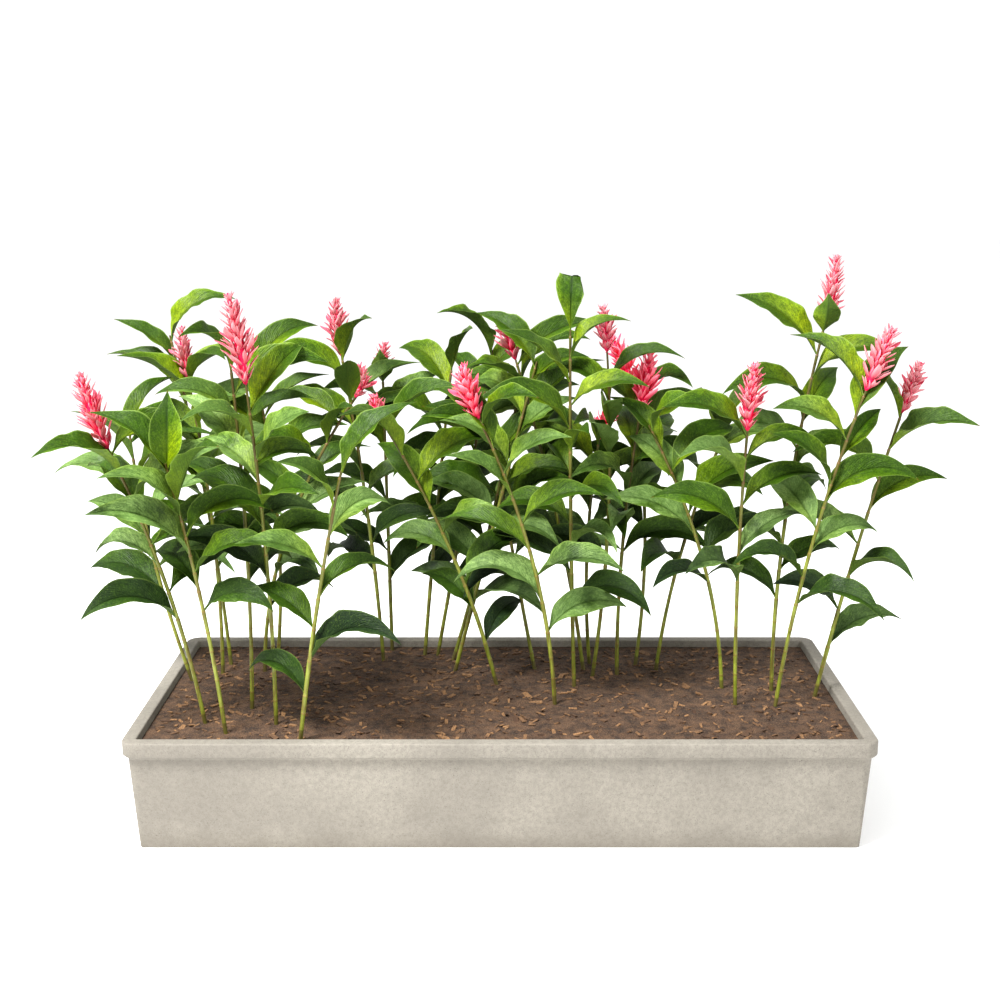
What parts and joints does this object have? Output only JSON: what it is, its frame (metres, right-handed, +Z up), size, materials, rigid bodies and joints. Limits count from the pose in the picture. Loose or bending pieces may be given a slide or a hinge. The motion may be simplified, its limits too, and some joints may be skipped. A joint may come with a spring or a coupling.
{
  "type": "potted pink ginger",
  "caption": "A stand of tall leafy ginger canes with pink cone-shaped flower heads, growing in one long plain planter of soil.",
  "frame": {"origin": "middle of the planter's flat underside, where it rests on the ground", "axes": "+Z up, +X to the right along the planter's length, and the front of the stand faces -Y"},
  "size_m": [2.8798, 1.2691, 1.7632],
  "materials": {
    "fibre_cement": "matte",
    "potting_soil": "matte",
    "cane_and_leaf": "satin",
    "pink_bract": "satin"
  },
  "bodies": {
    "root": {"planter": "fibre_cement", "soil": "potting_soil", "cane_01": "cane_and_leaf", "cane_02": "cane_and_leaf", "cane_03": "cane_and_leaf", "cane_04": "cane_and_leaf", "cane_05": "cane_and_leaf", "cane_06": "cane_and_leaf", "cane_07": "cane_and_leaf", "cane_08": "cane_and_leaf", "cane_09": "cane_and_leaf", "cane_10": "cane_and_leaf", "cane_11": "cane_and_leaf", "cane_12": "cane_and_leaf", "cane_13": "cane_and_leaf", "cane_14": "cane_and_leaf", "cane_15": "cane_and_leaf", "cane_16": "cane_and_leaf", "cane_17": "cane_and_leaf", "cane_18": "cane_and_leaf", "cane_19": "cane_and_leaf", "cane_20": "cane_and_leaf", "cane_21": "cane_and_leaf", "cane_22": "cane_and_leaf", "cane_23": "cane_and_leaf", "cane_24": "cane_and_leaf", "cane_25": "cane_and_leaf", "cane_26": "cane_and_leaf", "cane_27": "cane_and_leaf", "cane_28": "cane_and_leaf", "cane_29": "cane_and_leaf", "cane_30": "cane_and_leaf", "cane_31": "cane_and_leaf", "head_02": "pink_bract", "head_03": "pink_bract", "head_07": "pink_bract", "head_08": "pink_bract", "head_11": "pink_bract", "head_12": "pink_bract", "head_17": "pink_bract", "head_19": "pink_bract", "head_21": "pink_bract", "head_22": "pink_bract", "head_23": "pink_bract", "head_24": "pink_bract", "head_25": "pink_bract", "head_28": "pink_bract", "head_29": "pink_bract", "head_30": "pink_bract", "head_31": "pink_bract"}
  },
  "joints": []
}
